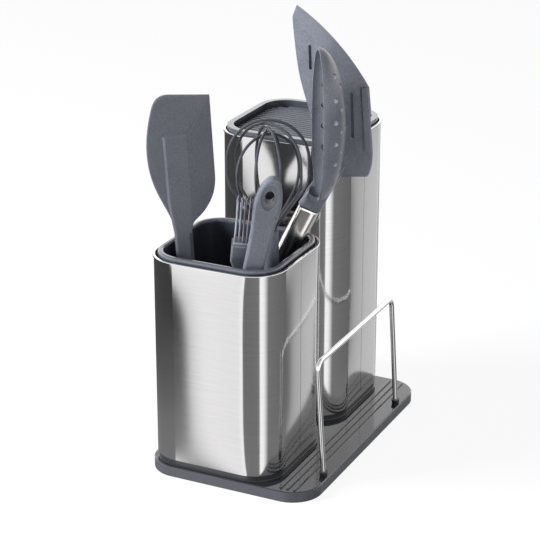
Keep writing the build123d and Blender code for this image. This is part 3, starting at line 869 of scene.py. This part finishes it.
@dataclass(frozen=True)
class Room:
    """What light and gloss find round the object: pale and dark panels, and a glow above."""

    ambient: float = 0.26
    panels: Stops = (
        (0.0, 0.80),
        (0.0722, 0.10),
        (0.395, 0.06),
        (0.401, 0.10),
        (0.407, 1.00),
        (0.420, 1.28),
        (0.450, 1.20),
        (0.476, 1.36),
        (0.4885, 1.45),
        (0.4955, 0.22),
        (0.6150, 0.26),
        (0.6250, 1.50),
        (0.6600, 1.30),
        (0.7000, 0.26),
        (0.9050, 0.18),
        (0.9160, 0.56),
        (0.9400, 0.70),
        (1.0, 0.80),
    )
    brightest: float = 2.0
    front: float = 0.5
    floor_heights: Span = (-0.36, -0.46)
    floor_glow: float = 0.26
    panel_tops: Span = (-0.12, 0.10)
    upper_heights: Span = (0.1, 0.9)
    upper_glow: Span = (2.1, 0.8)

    def panel_glow(self, bench: NodeBench, direction: bpy.types.NodeOutputs) -> Socket:
        """Work out the panels' brightness, which changes with the direction round the object.

        Args:
            bench: The world's nodes.
            direction: The direction's X, Y and Z.

        Returns:
            The brightness.
        """
        back = bench.math("MULTIPLY", direction["Y"], -1.0)
        turn = bench.math("ARCTAN2", direction["X"], back)
        share = bench.math("MULTIPLY_ADD", turn, 1 / math.tau, self.front)
        curve = bench.add("FloatCurve")
        shape = curve.mapping.curves[0]
        while len(shape.points) < len(self.panels):
            shape.points.new(0.5, 0.5)
        for point, (place, level) in zip(shape.points, self.panels):
            point.location = (place, level / self.brightest)
            point.handle_type = "VECTOR"
        curve.mapping.update()
        bench.join(share, curve.inputs["Value"])
        return bench.math("MULTIPLY", curve.outputs[0], self.brightest)

    def build(self) -> None:
        """Light the object evenly, and show the room to gloss only."""
        made = bpy.data.worlds.new("studio")
        made.use_nodes = True
        bpy.context.scene.world = made
        bench = NodeBench(made.node_tree)
        direction = bench.split(bench.add("TexCoord").outputs["Generated"])
        height = direction["Z"]
        low = bench.spread(height, self.floor_heights, (0.0, self.floor_glow), smooth=True)
        panels = bench.math("MAXIMUM", self.panel_glow(bench, direction), low)
        above = bench.spread(height, self.panel_tops, smooth=True)
        upper = bench.spread(height, self.upper_heights, self.upper_glow, smooth=True)
        room = bench.mixed(above, panels, upper, "FLOAT")
        path = bench.add("LightPath").outputs
        shiny = bench.math("MAXIMUM", path["Is Glossy Ray"], path["Is Transmission Ray"])
        shown = bench.mixed(shiny, self.ambient, room, "FLOAT")
        final = bench.mixed(path["Is Camera Ray"], shown, 1.0, "FLOAT")
        background = made.node_tree.nodes["Background"]
        bench.join(final, background.inputs["Strength"])
        background.inputs["Color"].default_value = (1.0, 1.0, 1.0, 1.0)


@dataclass
class Studio:
    """Camera, room, lamps and floor."""

    azimuth: float = math.radians(25.908)
    elevation: float = math.radians(21.391)
    distance: float = 1.500575
    aim: Triple = (-0.015765, 0.0, 0.136106)
    lens: float = 127.335
    sensor: float = 36.0
    far: float = 60.0
    room: Room = Room()
    lamps: tuple[Lamp, ...] = (
        Lamp("key_lamp", (-1.65, -1.21, 1.0), 0.9, 112.0),
        Lamp("fill_lamp", (1.5, -0.9, 1.0), 1.2, 13.0),
    )
    floor_half: float = 6.0
    floor_finish: Backdrop = Backdrop("floor_white", 0.92, 0.90)

    def camera(self) -> None:
        """Set the camera at the photograph's view."""
        aim = Vector(self.aim)
        eye = aim + Vector((
            math.sin(self.azimuth) * math.cos(self.elevation),
            -math.cos(self.azimuth) * math.cos(self.elevation),
            math.sin(self.elevation),
        )) * self.distance
        data = bpy.data.cameras.new("camera")
        data.lens = self.lens
        data.sensor_width = self.sensor
        data.clip_end = self.far
        seen = bpy.data.objects.new("camera", data)
        seen.location = eye
        seen.rotation_euler = (aim - eye).to_track_quat("-Z", "Y").to_euler()
        bpy.context.scene.collection.objects.link(seen)
        bpy.context.scene.camera = seen

    def floor(self) -> None:
        """Lay the white floor, which gloss looks past to the room's panels."""
        form = bmesh.new()
        bmesh.ops.create_grid(form, x_segments=1, y_segments=1, size=self.floor_half)
        mesh = bpy.data.meshes.new("floor")
        form.to_mesh(mesh)
        form.free()
        mesh.materials.append(self.floor_finish.material())
        ground = bpy.data.objects.new("floor", mesh)
        ground.visible_glossy = False
        bpy.context.scene.collection.objects.link(ground)

    def build(self) -> None:
        """Set up the whole studio."""
        self.camera()
        self.room.build()
        for lamp in self.lamps:
            lamp.build(Vector(self.aim))
        self.floor()
        bpy.context.scene.view_settings.view_transform = "Standard"


def main() -> None:
    """Build every part of the scene in order."""
    logging.basicConfig(level=logging.INFO, format="%(message)s")
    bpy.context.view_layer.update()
    Studio().build()
    log.info("studio ready")
    Stand().dress()
    Holders().dress()
    Tools().dress()
    BristleTuft().build()
    bpy.context.view_layer.update()
    log.info("sizes written")


if __name__ == "__main__":
    main()
